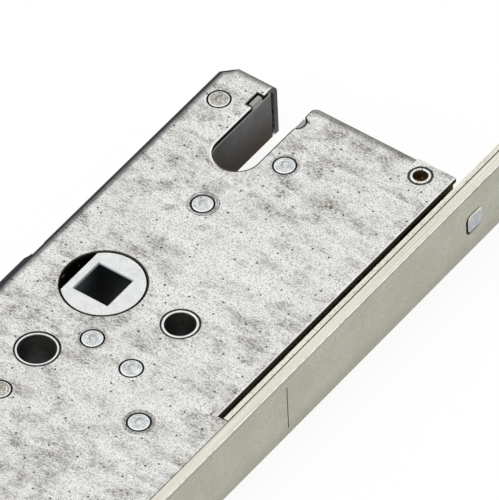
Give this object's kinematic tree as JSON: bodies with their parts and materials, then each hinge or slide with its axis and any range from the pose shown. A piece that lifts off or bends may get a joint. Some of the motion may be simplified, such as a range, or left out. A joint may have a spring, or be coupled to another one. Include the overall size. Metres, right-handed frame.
{
  "type": "lift lever passive lock",
  "caption": "Central lock case for a passive door leaf: a lever-driven hub with toothed slides throws an upper and a lower drive rail behind a long faceplate.",
  "frame": {"origin": "on the spindle axis, half way through the case", "axes": "+X out of the faceplate's front, +Y to the case's top (the end with the cut-out), +Z out of the side plate with the rolled edges; the lock lies on its back"},
  "size_m": [0.0632, 0.352, 0.016],
  "materials": {
    "zinc_plate": "galvanised sheet, mottled",
    "dark_liner": "satin dark grey",
    "faceplate": "galvanised, fine brushed",
    "hub_metal": "bright zinc plated",
    "bright_steel": "bright zinc plated",
    "rivet_steel": "flush riveted ends",
    "cast_zinc": "die-cast zinc",
    "rail_steel": "galvanised strip",
    "brass": "turned brass"
  },
  "bodies": {
    "case": {"case_tray": "zinc_plate", "cover_plate": "zinc_plate", "notch_liner": "dark_liner", "faceplate": "faceplate", "fixing_bush_front": "bright_steel", "fixing_bush_lower": "bright_steel", "case_studs": "rivet_steel", "slide_guide_studs": "rivet_steel", "pinion_axle": "rivet_steel", "upper_anchor_block": "bright_steel", "lower_anchor_block": "bright_steel", "anchor_eyelets": "bright_steel", "brass_bushes": "brass", "rail_guide_studs": "bright_steel", "detent_housing": "dark_liner", "detent_spring": "bright_steel"},
    "hub": {"spindle_hub": "hub_metal"},
    "pinion": {"reversing_pinion": "cast_zinc"},
    "lower_drive": {"lower_slide": "cast_zinc", "lower_drive_rail": "rail_steel", "lower_rail_rivets": "rivet_steel", "lower_coupling": "cast_zinc", "lower_coupling_rivets": "rivet_steel"},
    "upper_drive": {"upper_slide": "cast_zinc", "upper_drive_rail": "rail_steel", "upper_rail_rivets": "rivet_steel", "upper_coupling": "cast_zinc", "upper_coupling_rivets": "rivet_steel"},
    "detent": {"detent_plunger": "bright_steel"}
  },
  "joints": [
    {"name": "hub_turn", "type": "hinge", "parent": "case", "child": "hub", "pos_m": [0, 0, 0], "axis": [0, 0, -1], "range_deg": [0, 90]},
    {"name": "lower_slide_throw", "type": "slide", "parent": "case", "child": "lower_drive", "axis": [0, -1, 0], "range_m": [0, 0.01768]},
    {"name": "upper_slide_throw", "type": "slide", "parent": "case", "child": "upper_drive", "axis": [0, 1, 0], "range_m": [0, 0.01768]},
    {"name": "pinion_spin", "type": "hinge", "parent": "case", "child": "pinion", "pos_m": [0.0282, -0.0256, 0], "axis": [0, 0, 1], "range_deg": [0, 202.6]},
    {"name": "detent_press", "type": "slide", "parent": "case", "child": "detent", "axis": [-1, 0, 0], "range_m": [0, 0.0008], "stiffness_N_per_m": 300, "deforming": ["detent_spring"]}
  ],
  "couplings": [
    {"joint": "lower_slide_throw", "follows": "hub_turn", "m_per_rad": 0.01125},
    {"joint": "upper_slide_throw", "follows": "hub_turn", "m_per_rad": 0.01125},
    {"joint": "pinion_spin", "follows": "hub_turn", "ratio": 2.25}
  ]
}
